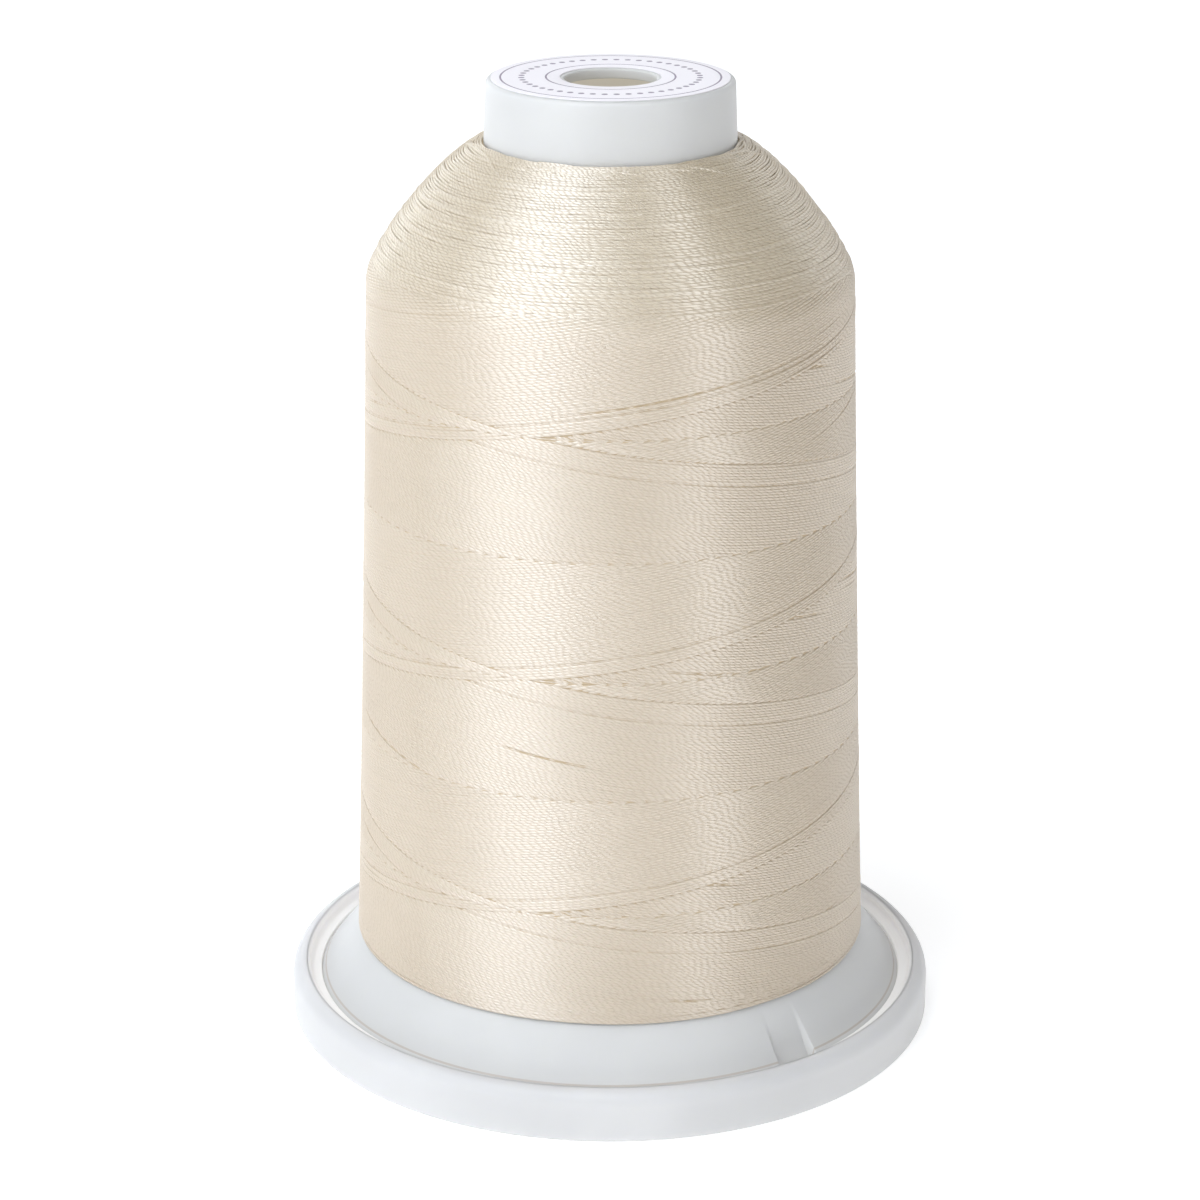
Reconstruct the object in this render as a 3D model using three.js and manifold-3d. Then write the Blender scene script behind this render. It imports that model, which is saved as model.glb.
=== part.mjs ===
// Cone of embroidery thread: a cross-wound package on a white plastic core with a base ring.
// Millimetres, +Z up. The origin is the centre of the base ring's lower face.
import * as THREE from "three";
import { mergeVertices } from "three/addons/utils/BufferGeometryUtils.js";
import Module from "manifold-3d";

const wasm = await Module();
wasm.setup();

// Driving dimensions.
const SEGMENTS = 64;              // facets round every turned piece
const GAP = 0.3;                  // clearance between pieces that touch

const RING_RADIUS = 39.25;        // outside of the base ring
const RING_HEIGHT = 6.2;          // top of its rounded rim
const RIM_ROUND = 1.7;            // radius of the rim's outer top edge
const RIM_INNER_RADIUS = 37.15;   // outer wall of the shallow channel inside the rim
const LEDGE_HEIGHT = 5;           // floor of that channel
const SEAT_RADIUS = 36.05;        // wall round the flange's edge, below the channel
const RING_FOOT_RADIUS = 34;      // inside edge of the flat foot
const FOOT_EDGE = 0.5;            // rounding of the foot's outer edge
const WEB_TOP = 2.6;              // web that closes the ring under the flange
const WEB_BOTTOM = 0.9;
const WEB_INNER_RADIUS = 27.5;

const FLANGE_RADIUS = 35.7;       // widest point of the core's conical flange
const FLANGE_EDGE_HEIGHT = 4.6;   // height of that edge
const FLANGE_SLOPE = 1.25;        // rise over run of the cone
const LIP_TAPER = 0.4;            // the lip draws in this much down to its end
const WALL = 1.7;                 // plastic wall

const TUBE_TOP_RADIUS = 14.6;     // outside, where the cap leaves the thread
const TUBE_TOP_HEIGHT = 107.5;
const TUBE_FOOT_RADIUS = 17.3;    // outside, where the tube meets the flange

const CAP_HEIGHT = 114.75;        // flat top of the core
const CAP_RADIUS = 14.3;          // cap side, just under its rounded edge
const CAP_ROUND = 0.6;            // rounding of the cap's top edge
const CAP_WALL = 1.3;             // thickness of the top
const BORE_RADIUS = 5.3;          // hole for the spindle pin

const LABEL_OUTER_RADIUS = 13.7;
const LABEL_INNER_RADIUS = 5.8;
const LABEL_THICKNESS = 0.3;

const NOTCH_AZIMUTH = 38.5;       // degrees from the front, towards +X
const NOTCH_WIDTH = 5;
const NOTCH_TOP_HEIGHT = 8.9;     // where the notch starts on the flange
const NOTCH_DEPTH = 1.2;          // measured level, at the flange's edge

// Wound thread. The face falls from the cap over a rounded shoulder to a tapered wall.
const THREAD_FOOT_RADIUS = 30.85;
const WALL_ROWS = 66;
const SHOULDER_ROWS = 13;
const WOUND_WALL = [
  { height: 11.15, radius: 31.05 },
  { height: 20, radius: 30.8 },
  { height: 40, radius: 30.0 },
  { height: 60, radius: 29.35 },
  { height: 80, radius: 28.7 },
  { height: 92.5, radius: 28.4 },
];
const WOUND_SHOULDER = [
  { height: 92.5, radius: 28.4 },
  { height: 94.2, radius: 27.75 },
  { height: 98, radius: 25.4 },
  { height: 102, radius: 22.3 },
  { height: 105.6, radius: 19 },
  { height: 107.5, radius: 16.1 },
];

// Crossing of the winding. A seam runs round the cone every half pitch. The thread slopes one
// way above each seam and the other way below it, and the edges of those fields are ridges.
const WINDING_PITCH = 28.25;      // rise of the thread in one turn
const FIRST_SEAM_HEIGHT = 24.2;   // a seam whose ridges cross at the front
const CROSSING_AZIMUTH = -18;     // degrees from the front, towards +X
const RIDGE_HEIGHT = 0.32;
const RIDGE_HALF_WIDTH = 1.9;
const SEAM_DEPTH = 0.2;
const SEAM_HALF_WIDTH = 1.3;

const point = (radius, height) => new THREE.Vector2(radius, height);

// Outside radius of the core's cone at a height.
const flangeRadius = (height) => FLANGE_RADIUS - (height - FLANGE_EDGE_HEIGHT) / FLANGE_SLOPE;
const flangeHeight = (radius) => FLANGE_EDGE_HEIGHT + (FLANGE_RADIUS - radius) * FLANGE_SLOPE;

// Points of an arc in the profile plane, from one angle to another, in degrees.
function arc(radius, height, round, from, to, steps) {
  return Array.from({ length: steps + 1 }, (_, i) => {
    const angle = THREE.MathUtils.degToRad(from + ((to - from) * i) / steps);
    return point(radius + round * Math.cos(angle), height + round * Math.sin(angle));
  });
}

// A closed profile turned about Z. The profile runs anticlockwise, with radius to the right.
function turned(profile) {
  const geometry = new THREE.LatheGeometry([...profile, profile[0].clone()], SEGMENTS);
  geometry.rotateX(Math.PI / 2);
  geometry.deleteAttribute("normal");
  geometry.deleteAttribute("uv");
  return geometry;
}

function toSolid(geometry) {
  const merged = mergeVertices(geometry, 1e-5);
  const vertProperties = new Float32Array(merged.attributes.position.array);
  const triVerts = new Uint32Array(merged.index.array);
  return new wasm.Manifold(new wasm.Mesh({ numProp: 3, vertProperties, triVerts }));
}

function toGeometry(solid) {
  const { vertProperties, triVerts } = solid.getMesh();
  const geometry = new THREE.BufferGeometry();
  geometry.setAttribute("position", new THREE.BufferAttribute(vertProperties, 3));
  geometry.setIndex(new THREE.BufferAttribute(triVerts, 1));
  return geometry;
}

function named(name, geometry, material) {
  const mesh = new THREE.Mesh(geometry, material);
  mesh.name = name;
  return mesh;
}

// Base ring: rounded rim, a shallow channel, a seat for the flange's lip and a thin web under it.
function baseRingGeometry() {
  return turned([
    point(RING_FOOT_RADIUS, 0),
    point(RING_RADIUS - FOOT_EDGE, 0),
    point(RING_RADIUS, FOOT_EDGE),
    ...arc(RING_RADIUS - RIM_ROUND, RING_HEIGHT - RIM_ROUND, RIM_ROUND, 0, 90, 4),
    point(RIM_INNER_RADIUS, RING_HEIGHT - 0.2),
    point(RIM_INNER_RADIUS, LEDGE_HEIGHT),
    point(SEAT_RADIUS, LEDGE_HEIGHT),
    point(SEAT_RADIUS, WEB_TOP),
    point(WEB_INNER_RADIUS, WEB_TOP),
    point(WEB_INNER_RADIUS, WEB_BOTTOM),
    point(RING_FOOT_RADIUS - WEB_BOTTOM, WEB_BOTTOM),
  ]);
}

// Core: capped tapered tube that opens into a conical flange with a short lip. One plain wall.
function coreProfile() {
  const tubeFoot = flangeHeight(TUBE_FOOT_RADIUS);
  const lipEnd = WEB_TOP + GAP;
  const coneWall = WALL * Math.hypot(1, FLANGE_SLOPE) / FLANGE_SLOPE;
  return [
    point(FLANGE_RADIUS - LIP_TAPER, lipEnd),
    point(FLANGE_RADIUS, FLANGE_EDGE_HEIGHT),
    point(TUBE_FOOT_RADIUS, tubeFoot),
    point(TUBE_TOP_RADIUS, TUBE_TOP_HEIGHT),
    ...arc(CAP_RADIUS - CAP_ROUND, CAP_HEIGHT - CAP_ROUND, CAP_ROUND, 0, 90, 3),
    point(BORE_RADIUS + 0.2, CAP_HEIGHT),
    point(BORE_RADIUS, CAP_HEIGHT - 0.2),
    point(BORE_RADIUS, CAP_HEIGHT - CAP_WALL),
    point(CAP_RADIUS - WALL - CAP_ROUND, CAP_HEIGHT - CAP_WALL),
    point(CAP_RADIUS - WALL, CAP_HEIGHT - CAP_WALL - CAP_ROUND),
    point(TUBE_FOOT_RADIUS - WALL, tubeFoot - WALL / 2),
    point(FLANGE_RADIUS - coneWall, FLANGE_EDGE_HEIGHT),
    point(FLANGE_RADIUS - coneWall, lipEnd),
  ];
}

// Space cut out of the flange by the notch, which starts flush and deepens towards the edge.
function notchCutter() {
  const top = point(flangeRadius(NOTCH_TOP_HEIGHT), NOTCH_TOP_HEIGHT);
  const edge = point(FLANGE_RADIUS - NOTCH_DEPTH, FLANGE_EDGE_HEIGHT);
  const floorEnd = edge.clone().add(edge.clone().sub(top));
  const outside = FLANGE_RADIUS + 3;
  const section = new THREE.Shape([
    top, floorEnd, point(outside, floorEnd.y), point(outside, NOTCH_TOP_HEIGHT + 3),
  ]);
  const geometry = new THREE.ExtrudeGeometry(section, { depth: NOTCH_WIDTH, bevelEnabled: false });
  geometry.translate(0, 0, -NOTCH_WIDTH / 2);
  geometry.rotateX(Math.PI / 2);
  geometry.rotateZ(THREE.MathUtils.degToRad(NOTCH_AZIMUTH - 90));
  geometry.deleteAttribute("normal");
  geometry.deleteAttribute("uv");
  return geometry;
}

function coreGeometry() {
  return toGeometry(toSolid(turned(coreProfile())).subtract(toSolid(notchCutter())));
}

function labelGeometry() {
  const bottom = CAP_HEIGHT + GAP;
  const top = bottom + LABEL_THICKNESS;
  return turned([
    point(LABEL_INNER_RADIUS, bottom),
    point(LABEL_OUTER_RADIUS, bottom),
    point(LABEL_OUTER_RADIUS, top),
    point(LABEL_INNER_RADIUS, top),
  ]);
}

// Points spaced evenly along a smooth curve through a table of stations.
function smoothPoints(stations, rows) {
  const curve = new THREE.SplineCurve(stations.map(({ height, radius }) => point(radius, height)));
  return curve.getSpacedPoints(rows);
}

// Height of the ridges and seams of the winding at an azimuth in radians from the front.
function windingRelief(azimuth, height) {
  const turn = (azimuth - THREE.MathUtils.degToRad(CROSSING_AZIMUTH)) / (2 * Math.PI);
  const level = (height - FIRST_SEAM_HEIGHT) / WINDING_PITCH;
  const distance = (value, period) => Math.abs(value - period * Math.round(value / period));
  const fade = (turns, halfWidth) => Math.max(0, 1 - (turns * WINDING_PITCH) / halfWidth);
  const falling = fade(distance(level + turn, 1), RIDGE_HALF_WIDTH);
  const rising = fade(distance(level - turn, 1), RIDGE_HALF_WIDTH);
  const ridge = Math.max(falling, rising);
  const seam = fade(distance(level, 0.5), SEAM_HALF_WIDTH);
  return RIDGE_HEIGHT * ridge - SEAM_DEPTH * seam * (1 - ridge);
}

// Wound package: its outer face carries the winding's relief, and its hollow fits the core.
function threadGeometry() {
  const clearance = GAP * Math.hypot(1, FLANGE_SLOPE);
  const overFlange = (radius) => point(radius, flangeHeight(radius) + clearance);
  const wall = smoothPoints(WOUND_WALL, WALL_ROWS);
  const shoulder = smoothPoints(WOUND_SHOULDER, SHOULDER_ROWS).slice(1);
  const inside = [
    point(TUBE_TOP_RADIUS + GAP, TUBE_TOP_HEIGHT - 0.1),
    overFlange(TUBE_FOOT_RADIUS + GAP),
    overFlange(THREAD_FOOT_RADIUS),
  ];
  const profile = [...wall, ...shoulder, ...inside];
  const geometry = turned(profile);
  raiseWinding(geometry, wall.length, profile.length + 1);
  return geometry;
}

// Moves the points of the wound wall in or out by the relief. Each column of points holds the
// profile in order, the wall first, and the wall's two end rows stay where they are.
function raiseWinding(geometry, wallRows, rowsInColumn) {
  const position = geometry.attributes.position;
  for (let i = 0; i < position.count; i += 1) {
    const row = i % rowsInColumn;
    if (row < 1 || row >= wallRows - 1) continue;
    const x = position.getX(i);
    const y = position.getY(i);
    const z = position.getZ(i);
    const radius = Math.hypot(x, y);
    const scale = (radius + windingRelief(Math.atan2(x, -y), z)) / radius;
    position.setXY(i, x * scale, y * scale);
  }
}

const whitePlastic = new THREE.MeshStandardMaterial({ color: 0xe4e8e8, roughness: 0.38, metalness: 0 });
const ringPlastic = new THREE.MeshStandardMaterial({ color: 0xe8ebec, roughness: 0.42, metalness: 0 });
const creamThread = new THREE.MeshStandardMaterial({ color: 0xe8e0d4, roughness: 0.5, metalness: 0 });
const labelPaper = new THREE.MeshStandardMaterial({ color: 0xe6e3ec, roughness: 0.6, metalness: 0 });

const threadCone = new THREE.Group();
threadCone.add(
  named("base_ring", baseRingGeometry(), ringPlastic),
  named("spool_core", coreGeometry(), whitePlastic),
  named("wound_thread", threadGeometry(), creamThread),
  named("top_label", labelGeometry(), labelPaper),
);

export default threadCone;
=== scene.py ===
"""Looks of a cone of embroidery thread: wound thread, white plastic core, base ring and label."""

import math

import bpy
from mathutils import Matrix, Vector


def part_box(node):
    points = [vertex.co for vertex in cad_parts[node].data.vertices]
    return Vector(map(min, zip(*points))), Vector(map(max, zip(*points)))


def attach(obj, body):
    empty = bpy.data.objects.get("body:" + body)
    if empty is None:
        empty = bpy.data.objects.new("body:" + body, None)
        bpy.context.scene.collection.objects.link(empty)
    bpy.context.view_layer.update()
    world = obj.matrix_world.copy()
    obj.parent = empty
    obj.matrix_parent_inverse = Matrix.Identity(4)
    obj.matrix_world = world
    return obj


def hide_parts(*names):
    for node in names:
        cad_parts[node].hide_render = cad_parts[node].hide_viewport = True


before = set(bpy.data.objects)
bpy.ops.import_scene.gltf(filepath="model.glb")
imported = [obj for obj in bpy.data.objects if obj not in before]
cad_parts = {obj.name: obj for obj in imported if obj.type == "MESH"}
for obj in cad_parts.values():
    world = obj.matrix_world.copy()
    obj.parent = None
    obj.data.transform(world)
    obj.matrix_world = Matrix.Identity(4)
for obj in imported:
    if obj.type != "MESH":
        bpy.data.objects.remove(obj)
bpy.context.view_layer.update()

bl_info = {
    "name": "Thread Cone",
    "version": (1, 0, 0),
    "blender": (4, 5, 0),
    "location": "View3D > Sidebar > Thread Cone",
    "description": "Winds a cone of embroidery thread on a plastic core with a base ring",
    "category": "Object",
}

MM = 0.001
TURN = 2 * math.pi
BODY = "root"


# --------------------------------------------------------------------------- node writing


class Wire:
    """One output of a node. Python's operators on it add Math nodes to its tree."""

    def __init__(self, graph, socket):
        self.graph = graph
        self.socket = socket

    def math(self, operation, *values):
        return self.graph.node("ShaderNodeMath", {"operation": operation}, dict(enumerate(values)))

    def __add__(self, other):
        return self.math("ADD", self, other)

    def __radd__(self, other):
        return self.math("ADD", other, self)

    def __sub__(self, other):
        return self.math("SUBTRACT", self, other)

    def __rsub__(self, other):
        return self.math("SUBTRACT", other, self)

    def __mul__(self, other):
        return self.math("MULTIPLY", self, other)

    def __rmul__(self, other):
        return self.math("MULTIPLY", other, self)

    def __truediv__(self, other):
        return self.math("DIVIDE", self, other)

    def __rtruediv__(self, other):
        return self.math("DIVIDE", other, self)

    def __pow__(self, other):
        return self.math("POWER", self, other)

    def __lt__(self, other):
        return self.math("LESS_THAN", self, other)

    def __gt__(self, other):
        return self.math("GREATER_THAN", self, other)

    def __abs__(self):
        return self.math("ABSOLUTE", self)

    def sin(self):
        return self.math("SINE", self)

    def cos(self):
        return self.math("COSINE", self)

    def above(self, other):
        return self.math("MAXIMUM", self, other)

    def below(self, other):
        return self.math("MINIMUM", self, other)

    def fraction(self):
        return self.math("FRACT", self)

    def ramp(self, low, high, to_low=0.0, to_high=1.0):
        """A soft step from to_low, where this is low, to to_high, where it is high."""
        return self.graph.node(
            "ShaderNodeMapRange",
            {"interpolation_type": "SMOOTHSTEP"},
            {"Value": self, "From Min": low, "From Max": high, "To Min": to_low, "To Max": to_high},
        )


class Graph:
    """Writes one node tree, of a material or of geometry."""

    def __init__(self, tree):
        self.tree = tree

    def node(self, kind, settings=None, inputs=None, output=0):
        """Adds any node: its settings first, then its sockets' values or links."""
        node = self.tree.nodes.new(kind)
        for key, value in (settings or {}).items():
            setattr(node, key, value)
        for key, value in (inputs or {}).items():
            if isinstance(value, Wire):
                self.tree.links.new(value.socket, node.inputs[key])
            else:
                node.inputs[key].default_value = value
        return Wire(self, node.outputs[output]) if len(node.outputs) else node

    def other(self, wire, output):
        """Another output of the node that a wire comes from."""
        return Wire(self, wire.socket.node.outputs[output])

    def vector(self, x, y, z):
        return self.node("ShaderNodeCombineXYZ", None, {"X": x, "Y": y, "Z": z})

    def split(self, vector):
        x = self.node("ShaderNodeSeparateXYZ", None, {"Vector": vector})
        return x, self.other(x, "Y"), self.other(x, "Z")

    def mix(self, factor, first, second):
        """Mixes two colours."""
        sockets = {0: factor, 6: first, 7: second}
        return self.node("ShaderNodeMix", {"data_type": "RGBA"}, sockets, 2)

    def noise(self, vector, scale, detail=2.0, roughness=0.5):
        """Noise round 0.5 at so many features in a metre."""
        sockets = {"Vector": vector, "Scale": scale, "Detail": detail, "Roughness": roughness}
        return self.node("ShaderNodeTexNoise", None, sockets)

    def attribute(self, name):
        """A number that a geometry tree stored on the mesh."""
        return self.node("ShaderNodeAttribute", {"attribute_name": name}, None, "Fac")

    def bump(self, height, distance):
        return self.node("ShaderNodeBump", None, {"Height": height, "Distance": distance})

    def place(self):
        """A point's place on its object, in metres."""
        return self.node("ShaderNodeTexCoord", None, None, "Object")


def new_material(name):
    """A node material with its surface shader, ready to be linked."""
    material = bpy.data.materials.new(name)
    material.use_nodes = True
    tree = material.node_tree
    shader = tree.nodes["Principled BSDF"]
    return material, Graph(tree), shader


def set_sockets(graph, shader, values):
    """Sets or links sockets of a shader by name."""
    for key, value in values.items():
        if isinstance(value, Wire):
            graph.tree.links.new(value.socket, shader.inputs[key])
        else:
            shader.inputs[key].default_value = value


def new_geometry_tree(name, inputs):
    """A geometry tree with named number inputs, its graph, and a wire for each input."""
    tree = bpy.data.node_groups.new(name, "GeometryNodeTree")
    tree.is_modifier = True
    tree.interface.new_socket(name="Geometry", in_out="OUTPUT", socket_type="NodeSocketGeometry")
    for title, kind, default in inputs:
        kind = "NodeSocket" + kind
        item = tree.interface.new_socket(name=title, in_out="INPUT", socket_type=kind)
        item.default_value = default
    graph = Graph(tree)
    first = graph.node("NodeGroupInput", None, None, inputs[0][0])
    return graph, {title: graph.other(first, title) for title, _, _ in inputs}


def grown(name, tree, values):
    """Runs a geometry tree with these inputs and returns the result as a plain mesh object."""
    host = bpy.data.objects.new(name + "_host", bpy.data.meshes.new(name + "_host"))
    bpy.context.scene.collection.objects.link(host)
    modifier = host.modifiers.new(name, "NODES")
    modifier.node_group = tree
    items = tree.interface.items_tree
    sockets = {item.name: item.identifier for item in items if item.in_out == "INPUT"}
    for title, value in values.items():
        modifier[sockets[title]] = value
    depsgraph = bpy.context.evaluated_depsgraph_get()
    mesh = bpy.data.meshes.new_from_object(host.evaluated_get(depsgraph), depsgraph=depsgraph)
    bpy.data.objects.remove(host)
    mesh.name = name
    piece = bpy.data.objects.new(name, mesh)
    bpy.context.scene.collection.objects.link(piece)
    return piece


# --------------------------------------------------------------------------- turned pieces


def filleted(corners, steps=5):
    """Points of a closed outline. Each corner is (radius, height, rounding), in metres."""
    points = []
    befores = corners[-1:] + corners[:-1]
    afters = corners[1:] + corners[:1]
    for before, corner, after in zip(befores, corners, afters):
        here = Vector(corner[:2])
        to_before = (Vector(before[:2]) - here).normalized()
        to_after = (Vector(after[:2]) - here).normalized()
        if corner[2] == 0:
            points.append(here)
            continue
        half = to_before.angle(to_after) / 2
        centre = here + (to_before + to_after).normalized() * (corner[2] / math.sin(half))
        start = here + to_before * (corner[2] / math.tan(half)) - centre
        end = here + to_after * (corner[2] / math.tan(half)) - centre
        sweep = start.angle_signed(end)
        for step in range(steps + 1):
            angle = -sweep * step / steps
            turned_arm = Vector((
                start.x * math.cos(angle) - start.y * math.sin(angle),
                start.x * math.sin(angle) + start.y * math.cos(angle),
            ))
            points.append(centre + turned_arm)
    return points


def spaced(points, longest):
    """The same closed outline with points added so that no edge is longer than this."""
    result = []
    for here, after in zip(points, points[1:] + points[:1]):
        pieces = max(1, math.ceil((after - here).length / longest))
        result += [here.lerp(after, i / pieces) for i in range(pieces)]
    return result


def even_angles(count):
    return [TURN * i / count for i in range(count)]


def on_axis(radius, azimuth, height):
    """A point from its azimuth, counted from the front towards +X."""
    return radius * math.sin(azimuth), -radius * math.cos(azimuth), height


def turned(name, outline, angles, material, reshape=None):
    """A closed outline turned about the axis. The outline runs anticlockwise."""
    vertices = []
    for azimuth in angles:
        for point in outline:
            radius = point.x if reshape is None else reshape(point.x, azimuth, point.y)
            vertices.append(on_axis(radius, azimuth, point.y))
    rows = len(outline)
    faces = []
    for column in range(len(angles)):
        here = column * rows
        there = (column + 1) % len(angles) * rows
        for row in range(rows):
            up = (row + 1) % rows
            faces.append((here + row, there + row, there + up, here + up))
    mesh = bpy.data.meshes.new(name)
    mesh.from_pydata(vertices, [], faces)
    mesh.polygons.foreach_set("use_smooth", [True] * len(faces))
    mesh.set_sharp_from_angle(angle=math.radians(40))
    mesh.materials.append(material)
    piece = bpy.data.objects.new(name, mesh)
    bpy.context.scene.collection.objects.link(piece)
    return piece


def placed(piece, node):
    """Attaches a piece to the body that it moves with, and hides the part that it stands for."""
    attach(piece, BODY)
    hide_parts(node)


# --------------------------------------------------------------------------- settings


class WindingSettings(bpy.types.PropertyGroup):
    """Sizes of the wound thread."""

    thread_width: bpy.props.FloatProperty(
        name="Thread width", description="Diameter of a thread pressed flat on the wall",
        default=0.44 * MM, unit="LENGTH", precision=5)
    thread_pitch: bpy.props.FloatProperty(
        name="Thread pitch", description="Distance between neighbouring threads on the wall",
        default=0.32 * MM, unit="LENGTH", precision=5)
    shoulder_width: bpy.props.FloatProperty(
        name="Shoulder thread width", description="Diameter of the looser threads on the shoulder",
        default=0.50 * MM, unit="LENGTH", precision=5)
    shoulder_pitch: bpy.props.FloatProperty(
        name="Shoulder pitch", description="Distance between neighbouring turns on the shoulder",
        default=0.34 * MM, unit="LENGTH", precision=5)
    flatness: bpy.props.FloatProperty(
        name="Flatness", description="Thickness of a laid thread as a share of its width",
        default=0.6, min=0.2, max=1, subtype="FACTOR")
    twist_length: bpy.props.FloatProperty(
        name="Twist length", description="Length in which the plies of the thread turn once",
        default=1.75 * MM, unit="LENGTH", precision=5)
    crossing: bpy.props.FloatProperty(
        name="Crossing", description="Azimuth of the front crossings, from the front towards +X",
        default=math.radians(-18.5), subtype="ANGLE")
    tuck: bpy.props.FloatProperty(
        name="Tuck", description="Length of a thread that runs on under its neighbours",
        default=1.3 * MM, unit="LENGTH", precision=5)
    edge_lift: bpy.props.FloatProperty(
        name="Edge lift", description="How far the last threads of a field stand proud",
        default=0.035 * MM, unit="LENGTH", precision=5)


class ThreadFinish(bpy.types.PropertyGroup):
    """Colours and gloss of the thread."""

    colour: bpy.props.FloatVectorProperty(
        name="Thread", description="Colour of the thread in full light",
        subtype="COLOR", size=3, min=0, max=1, default=(0.59, 0.462, 0.308))
    # Painted light: a lighter, yellower thread colour for the shoulder, the top of the package.
    painted_light_shoulder_colour: bpy.props.FloatVectorProperty(
        name="Shoulder", description="Colour of the looser thread on the shoulder",
        subtype="COLOR", size=3, min=0, max=1, default=(0.70, 0.59, 0.42))
    # Painted shade: the darker thread colour drawn in the grooves between the plies and on the
    # layers under the outer threads. It is also the dark end of the threads' random tone.
    painted_shade_and_tone_colour: bpy.props.FloatVectorProperty(
        name="Deep thread", description="Colour of the threads between and under the others",
        subtype="COLOR", size=3, min=0, max=1, default=(0.50, 0.39, 0.255))
    roughness: bpy.props.FloatProperty(
        name="Roughness", description="How far the thread spreads its highlights",
        default=0.38, min=0, max=1)


class PlasticSettings(bpy.types.PropertyGroup):
    """Colours of the moulded pieces."""

    core_colour: bpy.props.FloatVectorProperty(
        name="Core", description="Colour of the core's plastic",
        subtype="COLOR", size=3, min=0, max=1, default=(0.672, 0.672, 0.662))
    ring_colour: bpy.props.FloatVectorProperty(
        name="Ring", description="Colour of the base ring's plastic",
        subtype="COLOR", size=3, min=0, max=1, default=(0.68, 0.677, 0.674))
    roughness: bpy.props.FloatProperty(
        name="Roughness", description="Roughness of the plastic", default=0.4, min=0, max=1)


class LabelSettings(bpy.types.PropertyGroup):
    """Colours of the label."""

    paper_colour: bpy.props.FloatVectorProperty(
        name="Paper", description="Colour of the label's paper",
        subtype="COLOR", size=3, min=0, max=1, default=(0.945, 0.91, 0.94))
    ink_colour: bpy.props.FloatVectorProperty(
        name="Ink", description="Colour of the printed rings",
        subtype="COLOR", size=3, min=0, max=1, default=(0.12, 0.06, 0.14))


class StageSettings(bpy.types.PropertyGroup):
    """Light, floor and camera."""

    floor_colour: bpy.props.FloatVectorProperty(
        name="Floor", description="Colour of the floor",
        subtype="COLOR", size=3, min=0, max=1, default=(0.93, 0.93, 0.93))
    floor_glow: bpy.props.FloatProperty(
        name="Floor glow", description="Light that comes through the floor, as on a light table",
        default=0.42, min=0)
    ambient: bpy.props.FloatProperty(
        name="Ambient", description="Strength of the light from all round", default=0.11, min=0)
    light_scale: bpy.props.FloatProperty(
        name="Lights", description="Brightness of the soft lights together",
        default=1.0, min=0, subtype="FACTOR")


# --------------------------------------------------------------------------- wound thread

# The wall of the package, as heights and radii in metres.
WALL_FOOT_HEIGHT = 11.15 * MM
WALL_FOOT_RADIUS = 31.05 * MM
WALL_TOP_HEIGHT = 92.5 * MM
WALL_TOP_RADIUS = 28.4 * MM
WALL_HOLLOW = 0.1 * MM            # how far the wall sags in half-way up

# The shoulder's curve in the XZ plane, in mm: its start and a handle, then a handle and its end.
SHOULDER_START = ((28.45, 0, 91.8), (28.77, 0, 94.51))
SHOULDER_END = ((19.64, 0, 107.0), (14.8, 0, 108.1))
SHOULDER_LENGTH = 21.7 * MM       # along the curve
SHOULDER_MEAN_RADIUS = 22 * MM
SHOULDER_HEIGHT = 91.8 * MM       # where the wall begins to turn in
SHOULDER_TURN = 100               # how fast it does, per metre

# Each band of the wall lies between two seams, heights in mm. Fields of falling threads rise
# from the lower seam, and fields of rising threads hang from the upper one.
SEAMS = (11.45, 24.2, 38.3, 52.4, 66.5, 80.6, 94.3)
FIRST_FRONT_SEAM = 1              # the edges of the fields cross in front on every second seam


def wall_radius(height):
    """Radius of the wound face of the wall, for a wire or a number of metres."""
    share = (height - WALL_FOOT_HEIGHT) / (WALL_TOP_HEIGHT - WALL_FOOT_HEIGHT)
    taper = WALL_FOOT_RADIUS - WALL_TOP_RADIUS
    rounded = (height - SHOULDER_HEIGHT + abs(height - SHOULDER_HEIGHT)) / 2
    straight = WALL_FOOT_RADIUS - taper * share
    return straight - 4 * WALL_HOLLOW * share * (1 - share) - SHOULDER_TURN * rounded ** 2


FIELD_INPUTS = (
    ("Threads", "Int", 100),
    ("Lower Seam", "Float", 0.02),
    ("Upper Seam", "Float", 0.04),
    ("Lower Crossing", "Float", 0.0),
    ("Thread Radius", "Float", 0.0002),
    ("Flatness", "Float", 0.6),
    ("Twist Length", "Float", 0.002),
    ("Tuck", "Float", 0.001),
    ("Edge Lift", "Float", 0.0001),
    ("Step", "Float", 0.002),
    ("Seed", "Int", 0),
)
STRAND_POINTS = 64                # points along a strand before it is spaced by length
TURN_POINTS = 160                 # the same for a level turn on the shoulder
LEVEL_POINTS = 120                # and for one on the wall
THREAD_SIDES = 8                  # round a thread in full view
LEVEL_SIDES = 6                   # round one that shows only at the foot and in the seams
LOWER_RIBBON = 7                  # threads in the ribbon along a lower field's free edge
UPPER_RIBBON = 4                  # and along an upper field's


def strand_set(g, count, points):
    """So many straight strands, with the number of each and the share of its length."""
    line = g.node("GeometryNodeCurvePrimitiveLine", None, {"End": (1, 0, 0)})
    line = g.node("GeometryNodeResampleCurve", None, {"Curve": line, "Count": points})
    places = g.node("GeometryNodePoints", None, {"Count": count})
    strands = g.node("GeometryNodeInstanceOnPoints", None, {"Points": places, "Instance": line})
    strands = g.node("GeometryNodeRealizeInstances", None, {"Geometry": strands})
    number = g.node("GeometryNodeCurveOfPoint")
    progress = g.node("GeometryNodeSplineParameter")
    return strands, number, progress


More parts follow.
